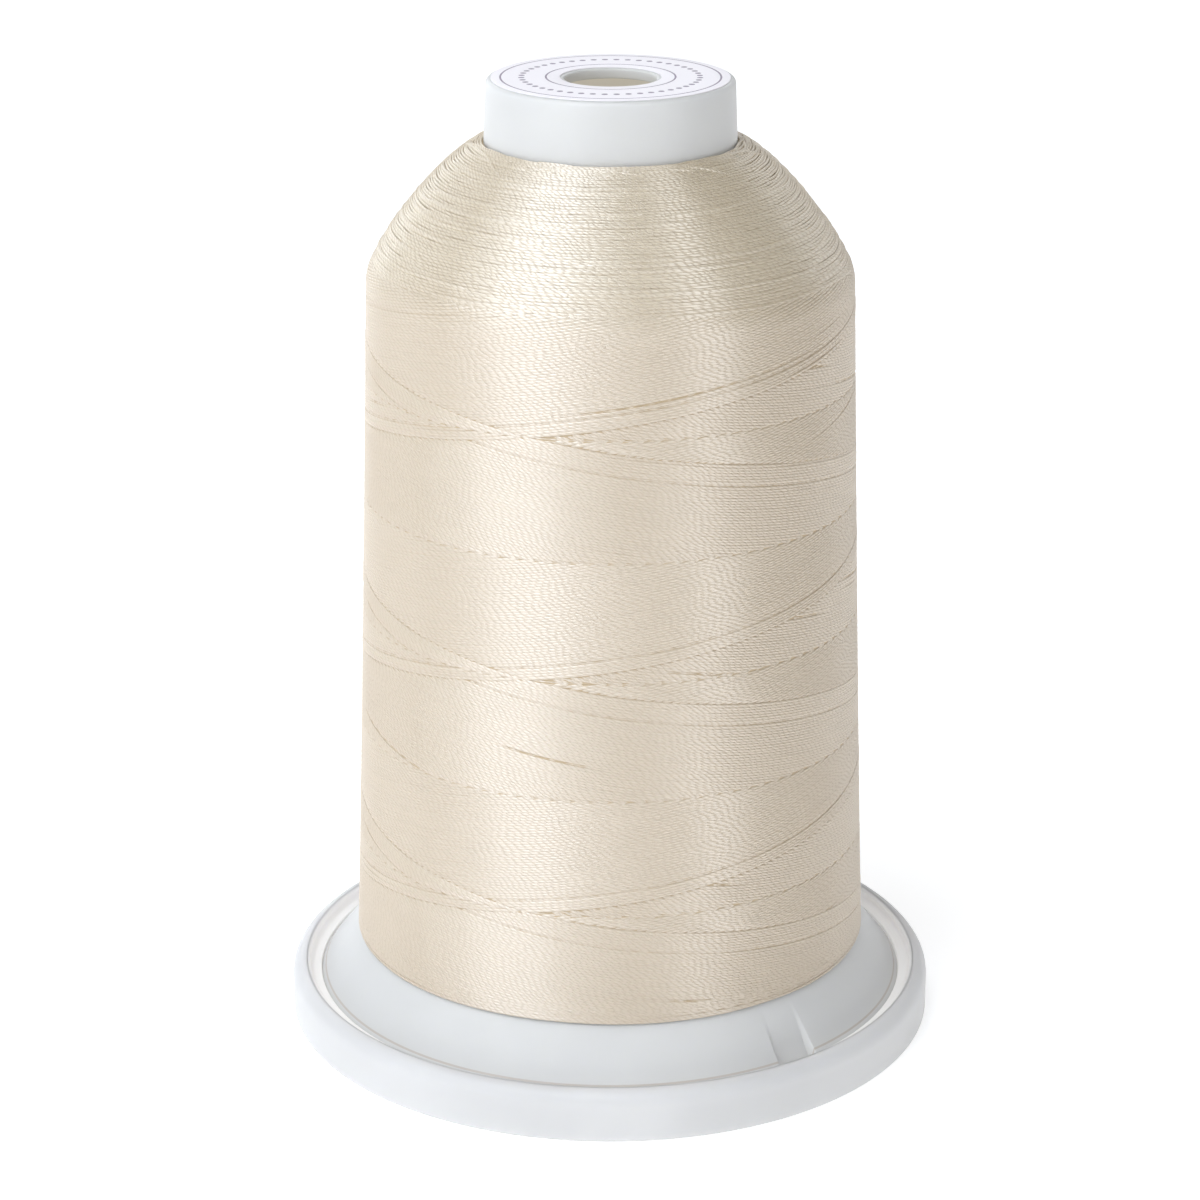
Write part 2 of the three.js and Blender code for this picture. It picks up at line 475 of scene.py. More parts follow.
def random_number(g, low, high, number, seed):
    """A random number for each strand."""
    sockets = {2: low, 3: high, "ID": number, "Seed": seed}
    return g.node("FunctionNodeRandomValue", {"data_type": "FLOAT"}, sockets, 1)


def at_azimuth(g, radius, azimuth, height):
    return g.vector(radius * azimuth.sin(), 0 - radius * azimuth.cos(), height)


def stored(g, geometry, name, value):
    """Stores a number for each point under a name that the material reads."""
    settings = {"data_type": "FLOAT", "domain": "POINT"}
    sockets = {"Geometry": geometry, "Name": name, "Value": value}
    return g.node("GeometryNodeStoreNamedAttribute", settings, sockets)


def as_threads(g, inputs, strands, position, twist, proud, sides, material):
    """Sets the strands' places and gives them the thickness and marks of a twisted thread.

    twist is how many turns the plies have made at each point, and proud is 1 where a thread lies
    on top of the others and takes more light: such a thread is painted lighter, as painted light.
    """
    radius = inputs["Thread Radius"]
    number = g.node("GeometryNodeCurveOfPoint")
    strands = stored(g, strands, "twist", twist)
    tone = random_number(g, 0.0, 0.6, number, inputs["Seed"] + 7)
    # tone holds the random tone, plus painted light on threads that lie proud
    strands = stored(g, strands, "tone", tone + proud * 0.4)
    strands = g.node("GeometryNodeSetPosition", None, {"Geometry": strands, "Position": position})
    spacing = {"Curve": strands, "Length": inputs["Step"]}
    strands = g.node("GeometryNodeResampleCurve", {"mode": "LENGTH"}, spacing)
    strands = g.node("GeometryNodeSetCurveNormal", {"mode": "Z_UP"}, {"Curve": strands})
    circle = {"Resolution": sides, "Radius": radius}
    profile = g.node("GeometryNodeCurvePrimitiveCircle", None, circle)
    profile = stored(g, profile, "around", g.node("GeometryNodeSplineParameter"))
    pressed = {
        "Geometry": profile,
        "Rotation": (0, 0, math.pi),
        "Scale": g.vector(inputs["Flatness"], 1.0, 1.0),
    }
    profile = g.node("GeometryNodeTransform", None, pressed)
    mesh = g.node(
        "GeometryNodeCurveToMesh", None,
        {"Curve": strands, "Profile Curve": profile, "Fill Caps": True})
    mesh = g.node("GeometryNodeSetShadeSmooth", None, {"Geometry": mesh})
    return g.node("GeometryNodeSetMaterial", None, {"Geometry": mesh, "Material": material})


def joined(g, parts):
    """Joins the parts and ends the tree."""
    join = g.tree.nodes.new("GeometryNodeJoinGeometry")
    for part in parts:
        g.tree.links.new(part.socket, join.inputs[0])
    realized = g.node("GeometryNodeRealizeInstances", None, {"Geometry": Wire(g, join.outputs[0])})
    g.node("NodeGroupOutput", None, {"Geometry": realized})
    return g.tree


def lay_field(g, inputs, side, ribbon, material):
    """Threads of one slope. They start under the edge of the field beyond and end at a seam.

    side is 1 for the threads above the lower seam and -1 for those below the upper seam. A
    thread's share runs from 0, the shortest, next to a crossing, to 1, the field's free edge,
    where the last threads lie together as a ribbon.
    """
    strands, number, progress = strand_set(g, inputs["Threads"], STRAND_POINTS)
    radius = inputs["Thread Radius"]
    tuck = inputs["Tuck"]
    seed = inputs["Seed"] + (3 if side > 0 else 4)
    share = (number + 0.5) / inputs["Threads"]
    band = inputs["Upper Seam"] - inputs["Lower Seam"]
    seam = inputs["Lower Seam"] if side > 0 else inputs["Upper Seam"]
    crossing = inputs["Lower Crossing"] + (0 if side > 0 else math.pi)
    girth = TURN * wall_radius(seam)
    over = tuck / girth
    turns = (share * 0.5 - over) + (share * 0.5 + over * 2) * progress
    height = seam + side * 2 * band * (share - turns)
    from_start = (turns - share * 0.5) * girth
    from_seam = (share - turns) * girth
    sunk = from_start.ramp(0 - tuck, tuck * -0.25, 1, 0).above(
        from_seam.ramp(0 - tuck, tuck * -0.25, 1, 0)) * radius * 1.1
    from_edge = inputs["Threads"] - 1 - number
    in_ribbon = from_edge < ribbon - 0.5
    groove = abs(from_edge - ribbon) < 0.5
    slack = random_number(g, 0.0, 1.0, number, seed + 11) > 0.955
    stretch = g.noise(g.vector(number * 3.7, turns * 9, 0.0), 1.0, 0.0).ramp(0.5, 0.6)
    dip = (groove * 0.3).above(slack * stretch * 0.4) * radius
    lift = in_ribbon * inputs["Edge Lift"]
    waver = (g.noise(g.vector(number * 2.3, turns * 30, 7.0), 1.0, 0.0) - 0.5) * radius
    height = height + waver * 0.25
    depth = radius * inputs["Flatness"] + sunk + dip - lift + waver * 0.15
    position = at_azimuth(g, wall_radius(height) - depth, crossing + turns * TURN, height)
    drift = g.noise(g.vector(number * 0.4, turns * 14, 3.0), 1.0, 1.0) * 3
    twist = turns * girth / inputs["Twist Length"] + drift
    return as_threads(g, inputs, strands, position, twist, in_ribbon, THREAD_SIDES, material)


def crossing_band_tree(material):
    """Both fields of one band of the wall."""
    g, inputs = new_geometry_tree("crossing_band", FIELD_INPUTS)
    return joined(g, [
        lay_field(g, inputs, 1, LOWER_RIBBON, material),
        lay_field(g, inputs, -1, UPPER_RIBBON, material),
    ])


SHOULDER_INPUTS = (
    ("Turns", "Int", 50),
    ("Arcs", "Int", 60),
    ("Loose Ends", "Int", 30),
    ("Thread Radius", "Float", 0.0002),
    ("Flatness", "Float", 0.6),
    ("Twist Length", "Float", 0.002),
    ("Step", "Float", 0.0014),
    ("Seed", "Int", 0),
)


def shoulder_profile(g):
    """The package's rounded shoulder as a curve in the XZ plane, from the wall to the cap."""
    ends = [Vector(point) * MM for point in SHOULDER_START + SHOULDER_END]
    sockets = dict(zip(("Start", "Start Handle", "End Handle", "End"), ends))
    sockets["Resolution"] = 64
    return g.node("GeometryNodeCurvePrimitiveBezierSegment", {"mode": "POSITION"}, sockets)


def on_shoulder(g, profile, share, azimuth, depth):
    """A place at a share of the shoulder's length and this far under its face."""
    sockets = {"Curves": profile, "Factor": share}
    sample = g.node("GeometryNodeSampleCurve", {"mode": "FACTOR"}, sockets)
    radius, _, height = g.split(g.other(sample, "Position"))
    inward, _, upward = g.split(g.other(sample, "Tangent"))
    return at_azimuth(g, radius - upward * depth, azimuth, height + inward * depth)


def turn_layer(g, inputs, profile, material):
    """Near-level turns that waver, so that neighbours part and ride over each other."""
    strands, number, progress = strand_set(g, inputs["Turns"], TURN_POINTS)
    seed = inputs["Seed"]
    radius = inputs["Thread Radius"]
    share = (number + 0.5) / inputs["Turns"]
    start = random_number(g, 0.0, TURN, number, seed + 1)
    angle = start + progress * TURN * 1.03
    circle = (angle.cos() * 6, angle.sin() * 6)
    waver = g.noise(g.vector(*circle, number * 0.45), 1.0, 1.0) - 0.5
    ripple = g.noise(g.vector(circle[0] * 3, circle[1] * 3, number * 1.9 + 40), 1.0, 1.0) - 0.5
    rise = g.noise(g.vector(circle[0] * 2, circle[1] * 2, number * 2.7 + 80), 1.0, 1.0) - 0.5
    place = (share + (waver * 1.5 + ripple * 0.4) * radius / SHOULDER_LENGTH).above(0).below(1)
    ends = (abs(progress - 0.5) * 2).ramp(0.96, 1.0)
    hidden = place.ramp(0.03, 0.11, 1.0, 0.0)
    depth = radius * (inputs["Flatness"] + ends * 1.2 + hidden + rise * 0.4)
    position = on_shoulder(g, profile, place, angle, depth)
    drift = g.noise(g.vector(*circle, number * 0.6), 1.0) * 3
    twist = progress * (TURN * SHOULDER_MEAN_RADIUS) / inputs["Twist Length"] + drift + start
    return as_threads(g, inputs, strands, position, twist, 0.0, THREAD_SIDES, material)


def arc_layer(g, inputs, profile, count, ranges, seed, material):
    """Threads that climb the shoulder, turn back and fall again, laid over the level turns.

    ranges holds the lowest and highest of four values: the share of the shoulder's length where
    a thread turns back, the angle that it spans, how fast it falls away, and its lean.
    """
    strands, number, progress = strand_set(g, count, STRAND_POINTS)
    seed = inputs["Seed"] + seed
    radius = inputs["Thread Radius"]
    peak, spread, bend, lean = (
        random_number(g, low, high, number, seed + i) for i, (low, high) in enumerate(ranges))
    middle = random_number(g, 0.0, TURN, number, seed + 10)
    angle = (progress - 0.5) * spread
    waver = g.noise(g.vector(angle * 3, number * 1.7, 0.0), 1.0, 1.0) - 0.5
    share = peak - bend * angle * angle + lean * angle + waver * radius * 3 / SHOULDER_LENGTH
    ends = (abs(progress - 0.5) * 2).ramp(0.82, 1.0)
    place = share.above(0.09).below(1)
    depth = radius * (inputs["Flatness"] - 0.3 + ends * 2.2)
    position = on_shoulder(g, profile, place, middle + angle, depth)
    twist = angle * SHOULDER_MEAN_RADIUS / inputs["Twist Length"] + middle * 5
    return as_threads(g, inputs, strands, position, twist, 0.0, THREAD_SIDES, material)


ARC_RANGES = ((0.10, 0.97), (0.7, 1.9), (0.004, 0.026), (-0.022, 0.022))
LOOSE_RANGES = ((0.955, 1.0), (0.45, 1.1), (0.12, 0.50), (-0.07, 0.07))


def shoulder_tree(material):
    g, inputs = new_geometry_tree("shoulder_turns", SHOULDER_INPUTS)
    profile = shoulder_profile(g)
    return joined(g, [
        turn_layer(g, inputs, profile, material),
        arc_layer(g, inputs, profile, inputs["Arcs"], ARC_RANGES, 20, material),
        arc_layer(g, inputs, profile, inputs["Loose Ends"], LOOSE_RANGES, 50, material),
    ])


LEVEL_INPUTS = (
    ("Turns", "Int", 6),
    ("Lowest", "Float", 0.011),
    ("Pitch", "Float", 0.0003),
    ("Depth", "Float", 0.0),
    ("Thread Radius", "Float", 0.0002),
    ("Flatness", "Float", 0.6),
    ("Twist Length", "Float", 0.002),
    ("Step", "Float", 0.002),
    ("Seed", "Int", 0),
)


def level_turns_tree(material):
    """Near-level turns, which hold the lower edge of the package and lie under its seams."""
    g, inputs = new_geometry_tree("level_turns", LEVEL_INPUTS)
    strands, number, progress = strand_set(g, inputs["Turns"], LEVEL_POINTS)
    radius = inputs["Thread Radius"]
    start = random_number(g, 0.0, TURN, number, inputs["Seed"] + 1)
    angle = start + progress * TURN * 1.03
    waver = g.noise(g.vector(angle.cos() * 1.4, angle.sin() * 1.4, number * 0.8), 1.0, 1.0)
    height = inputs["Lowest"] + inputs["Pitch"] * (number * 1.1 + waver * 1.6)
    ends = (abs(progress - 0.5) * 2).ramp(0.96, 1.0)
    depth = radius * (inputs["Flatness"] + ends * 1.6) + inputs["Depth"]
    position = at_azimuth(g, wall_radius(height) - depth, angle, height)
    twist = progress * (TURN * WALL_FOOT_RADIUS) / inputs["Twist Length"] + start
    turns = as_threads(g, inputs, strands, position, twist, 0.0, LEVEL_SIDES, material)
    return joined(g, [turns])


PLIES = 2                         # ridges seen round the twisted thread
INNER_PITCH = 0.3 * MM            # of the turns drawn on the layers inside


def thread_material(finish):
    """Cream filament thread with a satin shine. The plies show as slanted strokes, with painted
    shade in the grooves between them, and the shoulder's thread takes a lighter colour as painted
    light.
    """
    material, g, shader = new_material("cream_thread")
    tone = g.attribute("tone")
    phase = (g.attribute("twist") - g.attribute("around")) * PLIES
    ply = (phase * TURN).cos()
    # painted shade: the grooves between the plies are drawn darker, towards the painted shade
    # colour
    groove = ply.ramp(-0.2, -1.0)
    fuzz = g.noise(g.vector(phase * 2, tone * 60, 0.0), 2.0, 1.0)
    _, _, height = g.split(g.place())
    shoulder_share = height.ramp(90 * MM, 98 * MM)
    # painted light: the shoulder takes the lighter, yellower thread colour
    lit = g.mix(shoulder_share, (*finish.colour, 1), (*finish.painted_light_shoulder_colour, 1))
    # painted shade in the ply grooves, stronger on the shoulder, plus random tone and fuzz
    shade = 0.91 - groove * (shoulder_share * 0.25 + 0.45) + tone * 0.25 + (fuzz - 0.5) * 0.25
    colour = g.mix(shade.above(0).below(1), (*finish.painted_shade_and_tone_colour, 1), lit)
    set_sockets(g, shader, {
        "Base Color": colour,
        "Roughness": finish.roughness + groove * 0.3 + (fuzz - 0.5) * 0.12,
        "IOR": 2.5,
        "Anisotropic": 0.9,
        "Anisotropic Rotation": 0.25,
        "Specular IOR Level": 1.0,
        "Normal": g.bump(ply * 0.15 - groove, 0.02 * MM),
    })
    return material


def inner_layer_material(finish):
    """The layers that show only through gaps between the outer threads. They are painted darker, as
    painted shade, with darker stripes of painted shade between the drawn turns.
    """
    material, g, shader = new_material("inner_thread")
    place = g.place()
    _, _, height = g.split(place)
    turns = (height * (TURN / INNER_PITCH)).cos()
    patches = g.noise(place, 300.0, 2.0)
    # painted shade: the inner layers mix towards the darker thread colour
    colour = g.mix(patches * 0.4 + turns * 0.2 + 0.5, (*finish.painted_shade_and_tone_colour, 1), (*finish.colour, 1))
    set_sockets(g, shader, {
        "Base Color": colour,
        "Roughness": 0.6,
        "Normal": g.bump(turns, 0.04 * MM),
    })
    return material


class CONE_OT_wind_wall(bpy.types.Operator):
    """Winds the crossing bands of thread on the wall, and the level turns at its foot and seams"""

    bl_idname = "thread_cone.wind_wall"
    bl_label = "Wind Wall"

    def execute(self, context):
        winding = context.scene.cone_winding
        material = bpy.data.materials["cream_thread"]
        thread = {
            "Thread Radius": winding.thread_width / 2,
            "Flatness": winding.flatness,
            "Twist Length": winding.twist_length,
            "Step": 2.2 * MM,
        }
        tree = crossing_band_tree(material)
        for band, (lower, upper) in enumerate(zip(SEAMS, SEAMS[1:])):
            front = (band - FIRST_FRONT_SEAM) % 2 == 0
            values = {
                "Threads": round(2 * (upper - lower) * MM / winding.thread_pitch),
                "Lower Seam": lower * MM,
                "Upper Seam": upper * MM,
                "Lower Crossing": winding.crossing + (0 if front else math.pi),
                "Tuck": winding.tuck,
                "Edge Lift": winding.edge_lift,
                "Seed": 10 * band,
                **thread,
            }
            placed(grown(f"thread_band_{band + 1}", tree, values), "wound_thread")
        tree = level_turns_tree(material)
        for seam, height in enumerate(SEAMS[:-1]):
            foot = seam == 0
            values = {
                "Turns": 6 if foot else 4,
                "Lowest": WALL_FOOT_HEIGHT - 0.35 * MM if foot else height * MM - 0.85 * MM,
                "Pitch": winding.thread_pitch,
                "Depth": -0.02 * MM if foot else 0.07 * MM,
                "Seed": 5 + seam,
                **thread,
            }
            name = "thread_foot_turns" if foot else f"thread_seam_turns_{seam}"
            placed(grown(name, tree, values), "wound_thread")
        return {"FINISHED"}


class CONE_OT_wind_shoulder(bpy.types.Operator):
    """Winds the turning threads on the cone's shoulder"""

    bl_idname = "thread_cone.wind_shoulder"
    bl_label = "Wind Shoulder"

    def execute(self, context):
        winding = context.scene.cone_winding
        tree = shoulder_tree(bpy.data.materials["cream_thread"])
        values = {
            "Turns": round(SHOULDER_LENGTH / winding.shoulder_pitch),
            "Arcs": 60,
            "Loose Ends": 34,
            "Thread Radius": winding.shoulder_width / 2,
            "Flatness": winding.flatness,
            "Twist Length": winding.twist_length,
            "Step": 1.4 * MM,
            "Seed": 3,
        }
        placed(grown("thread_shoulder", tree, values), "wound_thread")
        return {"FINISHED"}


class CONE_OT_fill_package(bpy.types.Operator):
    """Makes the wound layers under the outer threads"""

    bl_idname = "thread_cone.fill_package"
    bl_label = "Fill Package"

    def execute(self, context):
        finish = context.scene.cone_thread
        winding = context.scene.cone_winding
        thread_material(finish)
        material = inner_layer_material(finish)
        depth = winding.thread_width * 0.24
        wall_height = WALL_TOP_HEIGHT - WALL_FOOT_HEIGHT
        heights = [WALL_FOOT_HEIGHT + wall_height * i / 12 for i in range(12)]
        wall = [Vector((wall_radius(height) - depth, height)) for height in heights]
        deep = winding.shoulder_width * 0.35
        shoulder = [Vector((point.x - deep, point.y - deep)) for point in shoulder_points(16)]
        tube_foot = flange_height(CORE_TUBE_FOOT_RADIUS)
        foot_radius = WALL_FOOT_RADIUS - 2 * depth
        inside = [
            Vector((CORE_TUBE_TOP_RADIUS + PIECE_GAP, TUBE_TOP_HEIGHT - 0.3 * MM)),
            Vector((CORE_TUBE_FOOT_RADIUS + PIECE_GAP, tube_foot + 2 * PIECE_GAP)),
            Vector((foot_radius, flange_height(foot_radius) + 2 * PIECE_GAP)),
        ]
        piece = turned("thread_inner_layers", wall + shoulder + inside, even_angles(128), material)
        placed(piece, "wound_thread")
        return {"FINISHED"}


def shoulder_points(count):
    """Points on the shoulder's profile, radius and height in metres."""
    start, start_handle = (Vector((p[0], p[2])) * MM for p in SHOULDER_START)
    end_handle, end = (Vector((p[0], p[2])) * MM for p in SHOULDER_END)
    points = []
    for i in range(count + 1):
        t = i / count
        points.append(
            start * (1 - t) ** 3 + start_handle * (3 * t * (1 - t) ** 2)
            + end_handle * (3 * t * t * (1 - t)) + end * t ** 3)
    return points


# --------------------------------------------------------------------------- plastic and label

CORE_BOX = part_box("spool_core")
RING_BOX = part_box("base_ring")
LABEL_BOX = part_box("top_label")
PIECE_GAP = 0.3 * MM
CAP_HEIGHT = LABEL_BOX[1].z - 0.1 * MM        # up to the underside of the label
LIP_HEIGHT = CORE_BOX[0].z
FLANGE_RADIUS = CORE_BOX[1].x
RING_RADIUS = RING_BOX[1].x
RING_HEIGHT = RING_BOX[1].z

FLANGE_EDGE_HEIGHT = 4.6 * MM
FLANGE_SLOPE = 1.25
CORE_TUBE_TOP_RADIUS = 14.6 * MM
CORE_TUBE_FOOT_RADIUS = 17.3 * MM
TUBE_TOP_HEIGHT = 107.5 * MM
CAP_RADIUS = 14.3 * MM
CAP_WALL = 1.2 * MM
BORE_RADIUS = 5.3 * MM
PLASTIC_WALL = 1.7 * MM
CHANNEL_RADIUS = 37.15 * MM       # inner wall of the ring's rim
LEDGE_HEIGHT = 5 * MM             # floor of the channel between the rim and the flange
SEAT_RADIUS = 35.76 * MM
SEAT_HEIGHT = 2.6 * MM            # top of the web that closes the ring
WEB_RADIUS = 27.5 * MM
WEB_BOTTOM_HEIGHT = 0.9 * MM
HOLLOW_RADIUS = 13.4 * MM         # inside it the tube shows the light that comes through
FLANGE_LINE_RADIUS = 35.22 * MM          # of the fine line on the flange
FLANGE_LINE_COLOUR = (0.42, 0.33, 0.25)

# Painted light in the tube's hollow and in the ring's channel, as a colour and a glow. It stands
# for light that comes through the milky plastic.
HOLLOW_PAINTED_LIGHT = (0.55, 0.52, 0.455)
HOLLOW_PAINTED_GLOW = 0.5
CHANNEL_PAINTED_LIGHT = (0.72, 0.71, 0.70)
CHANNEL_PAINTED_GLOW = 0.28

NOTCH_AZIMUTH = math.radians(38.5)
NOTCH_HALF_ANGLE = math.radians(4.15)
NOTCH_SIDE_ANGLE = math.radians(0.8)
NOTCH_TOP_HEIGHT = 8.9 * MM
NOTCH_DEPTH = 1.2 * MM


def flange_height(radius):
    return FLANGE_EDGE_HEIGHT + (FLANGE_RADIUS - radius) * FLANGE_SLOPE


def flange_radius(height):
    return FLANGE_RADIUS - (height - FLANGE_EDGE_HEIGHT) / FLANGE_SLOPE


def notched(radius, azimuth, height):
    """Draws the flange's outer face in to the notch's floor."""
    top_radius = flange_radius(NOTCH_TOP_HEIGHT)
    fall = (NOTCH_TOP_HEIGHT - height) / (NOTCH_TOP_HEIGHT - FLANGE_EDGE_HEIGHT)
    floor = top_radius + (FLANGE_RADIUS - NOTCH_DEPTH - top_radius) * fall
    if height > NOTCH_TOP_HEIGHT or radius < floor:
        return radius
    off = abs((azimuth - NOTCH_AZIMUTH + math.pi) % TURN - math.pi)
    side = min(1.0, max(0.0, (off - NOTCH_HALF_ANGLE) / NOTCH_SIDE_ANGLE + 0.5))
    return floor + (radius - floor) * side


def core_outline():
    tube_foot = flange_height(CORE_TUBE_FOOT_RADIUS)
    cone_wall = PLASTIC_WALL * math.hypot(1, FLANGE_SLOPE) / FLANGE_SLOPE
    inner_radius = FLANGE_RADIUS - cone_wall
    corners = [
        (FLANGE_RADIUS - 0.4 * MM, LIP_HEIGHT, 0.3 * MM),
        (FLANGE_RADIUS, FLANGE_EDGE_HEIGHT, 0.25 * MM),
        (CORE_TUBE_FOOT_RADIUS, tube_foot, 2 * MM),
        (CORE_TUBE_TOP_RADIUS, TUBE_TOP_HEIGHT, 0),
        (CAP_RADIUS, CAP_HEIGHT, 0.6 * MM),
        (BORE_RADIUS, CAP_HEIGHT, 0.25 * MM),
        (BORE_RADIUS, CAP_HEIGHT - CAP_WALL, 0.2 * MM),
        (CAP_RADIUS - PLASTIC_WALL, CAP_HEIGHT - CAP_WALL, 0.6 * MM),
        (CORE_TUBE_FOOT_RADIUS - PLASTIC_WALL, tube_foot - PLASTIC_WALL / 2, 2 * MM),
        (inner_radius, FLANGE_EDGE_HEIGHT, 0.5 * MM),
        (inner_radius, LIP_HEIGHT, 0.3 * MM),
    ]
    return spaced(filleted(corners), 1.5 * MM)


def notch_angles(count):
    """Even angles with more of them at the notch's sides."""
    sides = [
        NOTCH_AZIMUTH + sign * (NOTCH_HALF_ANGLE + NOTCH_SIDE_ANGLE * step)
        for sign in (-1, 1) for step in (-2.5, -0.8, -0.5, -0.25, 0, 0.25, 0.5, 0.8, 2.5)
    ]
    keep = 3 * NOTCH_SIDE_ANGLE
    evens = [
        angle for angle in even_angles(count)
        if abs(abs(angle - NOTCH_AZIMUTH) - NOTCH_HALF_ANGLE) > keep
    ]
    return sorted(evens + sides)


def ring_outline():
    corners = [
        (34 * MM, 0, 0.3 * MM),
        (RING_RADIUS, 0, 0.5 * MM),
        (RING_RADIUS, RING_HEIGHT, 1.8 * MM),
        (CHANNEL_RADIUS, RING_HEIGHT, 0.45 * MM),
        (CHANNEL_RADIUS, LEDGE_HEIGHT, 0.6 * MM),
        (SEAT_RADIUS, LEDGE_HEIGHT, 0.1 * MM),
        (SEAT_RADIUS, SEAT_HEIGHT, 0.3 * MM),
        (WEB_RADIUS, SEAT_HEIGHT, 0.3 * MM),
        (WEB_RADIUS, WEB_BOTTOM_HEIGHT, 0.3 * MM),
        (33.1 * MM, WEB_BOTTOM_HEIGHT, 0.3 * MM),
    ]
    return spaced(filleted(corners, 7), 2 * MM)


def tube_hollow(radius, height):
    """The inside of the tube, painted with light that would come through the wall and the thread.
    """
    ceiling = CAP_HEIGHT - CAP_WALL
    return (radius < HOLLOW_RADIUS) * height.ramp(ceiling, ceiling - 0.4 * MM)


def ring_channel(radius, height):
    """The channel inside the rim, painted with light that would come through the milky plastic."""
    inside = radius.ramp(CHANNEL_RADIUS + 0.5 * MM, CHANNEL_RADIUS + 0.1 * MM)
    return inside * height.ramp(RING_HEIGHT + 0.3 * MM, RING_HEIGHT - 0.4 * MM)


def edge_line(radius, height):
    """A fine darker line on the flange, just above the ring's channel."""
    return abs(radius - FLANGE_LINE_RADIUS).ramp(0.1 * MM, 0.05 * MM) * (height < 6 * MM) * 0.45


def plastic_material(name, colour, roughness, painted_light_mask, painted_light, painted_glow, line_mask=None):
    """Satin moulded plastic, a little milky, with faint clouding and handling marks. Where a mask
    says, a colour and a glow are painted in as painted light.
    """
    material, g, shader = new_material(name)
    place = g.place()
    clouds = g.noise(place, 45.0, 3.0)
    grain = g.noise(place, 2600.0, 2.0)
    rubs = g.noise(place, 420.0, 4.0, 0.7)
    dull = tuple(channel * 0.93 for channel in colour)
    x, y, height = g.split(place)
    radius = (x * x + y * y) ** 0.5
    # painted light: where this mask is 1, the colour and the glow stand for light through the
    # plastic
    inside = painted_light_mask(radius, height)
    paint = g.mix(clouds.ramp(0.35, 0.65), (*dull, 1), (*colour, 1))
    paint = g.mix(inside, paint, (*painted_light, 1))
    # a fine darker brown line where the line mask says
    if line_mask:
        paint = g.mix(line_mask(radius, height), paint, (*FLANGE_LINE_COLOUR, 1))
    set_sockets(g, shader, {
        "Base Color": paint,
        "Roughness": roughness + (rubs - 0.5) * 0.18,
        "Subsurface Weight": 0.7,
        "Subsurface Radius": (0.9, 0.9, 1.0),
        "Subsurface Scale": 2.5 * MM,
        "Emission Color": g.mix(inside, (0, 0, 0, 1), (*painted_light, 1)),
        "Emission Strength": painted_glow,
        "Normal": g.bump(grain * 0.4 + rubs * 0.6, 0.012 * MM),
    })
    return material


LABEL_HOLE_RADIUS = 5.8 * MM
OUTER_LINE_RADIUS = 12.6 * MM
INNER_LINE_RADIUS = 7.4 * MM
LINE_WIDTH = 0.22 * MM
DOT_CIRCLE_RADIUS = 10.2 * MM
DOT_RADIUS = 0.36 * MM
DOTS = 48


def label_material(label):
    """Coated paper with plain printed rings and dots, and no words."""
    material, g, shader = new_material("label_paper")
    place = g.place()
    x, y, _ = g.split(place)
    radius = (x * x + y * y) ** 0.5
    angle = g.node("ShaderNodeMath", {"operation": "ARCTAN2"}, {0: x, 1: y})
    fibre = g.noise(place, 1500.0, 3.0)

    def line(middle):
        return abs(radius - middle) < LINE_WIDTH / 2

    across = ((angle * (DOTS / TURN)).fraction() - 0.5) * (TURN * DOT_CIRCLE_RADIUS / DOTS)
    away = radius - DOT_CIRCLE_RADIUS
    dots = ((across * across + away * away) ** 0.5) < DOT_RADIUS
    ink = line(OUTER_LINE_RADIUS).above(line(INNER_LINE_RADIUS)).above(dots)
    paper = g.mix(fibre, (*(c * 0.97 for c in label.paper_colour), 1), (*label.paper_colour, 1))
    set_sockets(g, shader, {
        "Base Color": g.mix(ink * 0.85, paper, (*label.ink_colour, 1)),
        "Roughness": 0.5 - ink * 0.1,
        "Normal": g.bump(fibre, 0.01 * MM),
    })
    return material


class CONE_OT_mould_core(bpy.types.Operator):
    """Makes the plastic core with its cap, bore, flange and notch"""

    bl_idname = "thread_cone.mould_core"
    bl_label = "Mould Core"

    def execute(self, context):
        plastic = context.scene.cone_plastic
        material = plastic_material(
            "core_plastic", plastic.core_colour, plastic.roughness, tube_hollow,
            HOLLOW_PAINTED_LIGHT, HOLLOW_PAINTED_GLOW, edge_line)
        piece = turned("spool_core_moulding", core_outline(), notch_angles(168), material, notched)
        placed(piece, "spool_core")
        return {"FINISHED"}


class CONE_OT_mould_ring(bpy.types.Operator):
    """Makes the base ring that the flange snaps into"""

    bl_idname = "thread_cone.mould_ring"
    bl_label = "Mould Ring"

    def execute(self, context):
        plastic = context.scene.cone_plastic
        material = plastic_material(
            "ring_plastic", plastic.ring_colour, plastic.roughness + 0.04, ring_channel,
            CHANNEL_PAINTED_LIGHT, CHANNEL_PAINTED_GLOW)
        placed(turned("base_ring_moulding", ring_outline(), even_angles(192), material),
               "base_ring")
        return {"FINISHED"}


class CONE_OT_stick_label(bpy.types.Operator):
    """Makes the round label on the cap"""

    bl_idname = "thread_cone.stick_label"
    bl_label = "Stick Label"

    def execute(self, context):
        bottom = CAP_HEIGHT + 0.01 * MM
        top = LABEL_BOX[1].z
        corners = [
            (LABEL_HOLE_RADIUS, bottom, 0),
            (LABEL_BOX[1].x, bottom, 0),
            (LABEL_BOX[1].x, top, 0.03 * MM),
            (LABEL_HOLE_RADIUS, top, 0.03 * MM),
        ]
        material = label_material(context.scene.cone_label)
        outline = spaced(filleted(corners, 3), 2 * MM)
        piece = turned("cap_label", outline, even_angles(128), material)
        placed(piece, "top_label")
        return {"FINISHED"}


# --------------------------------------------------------------------------- stage

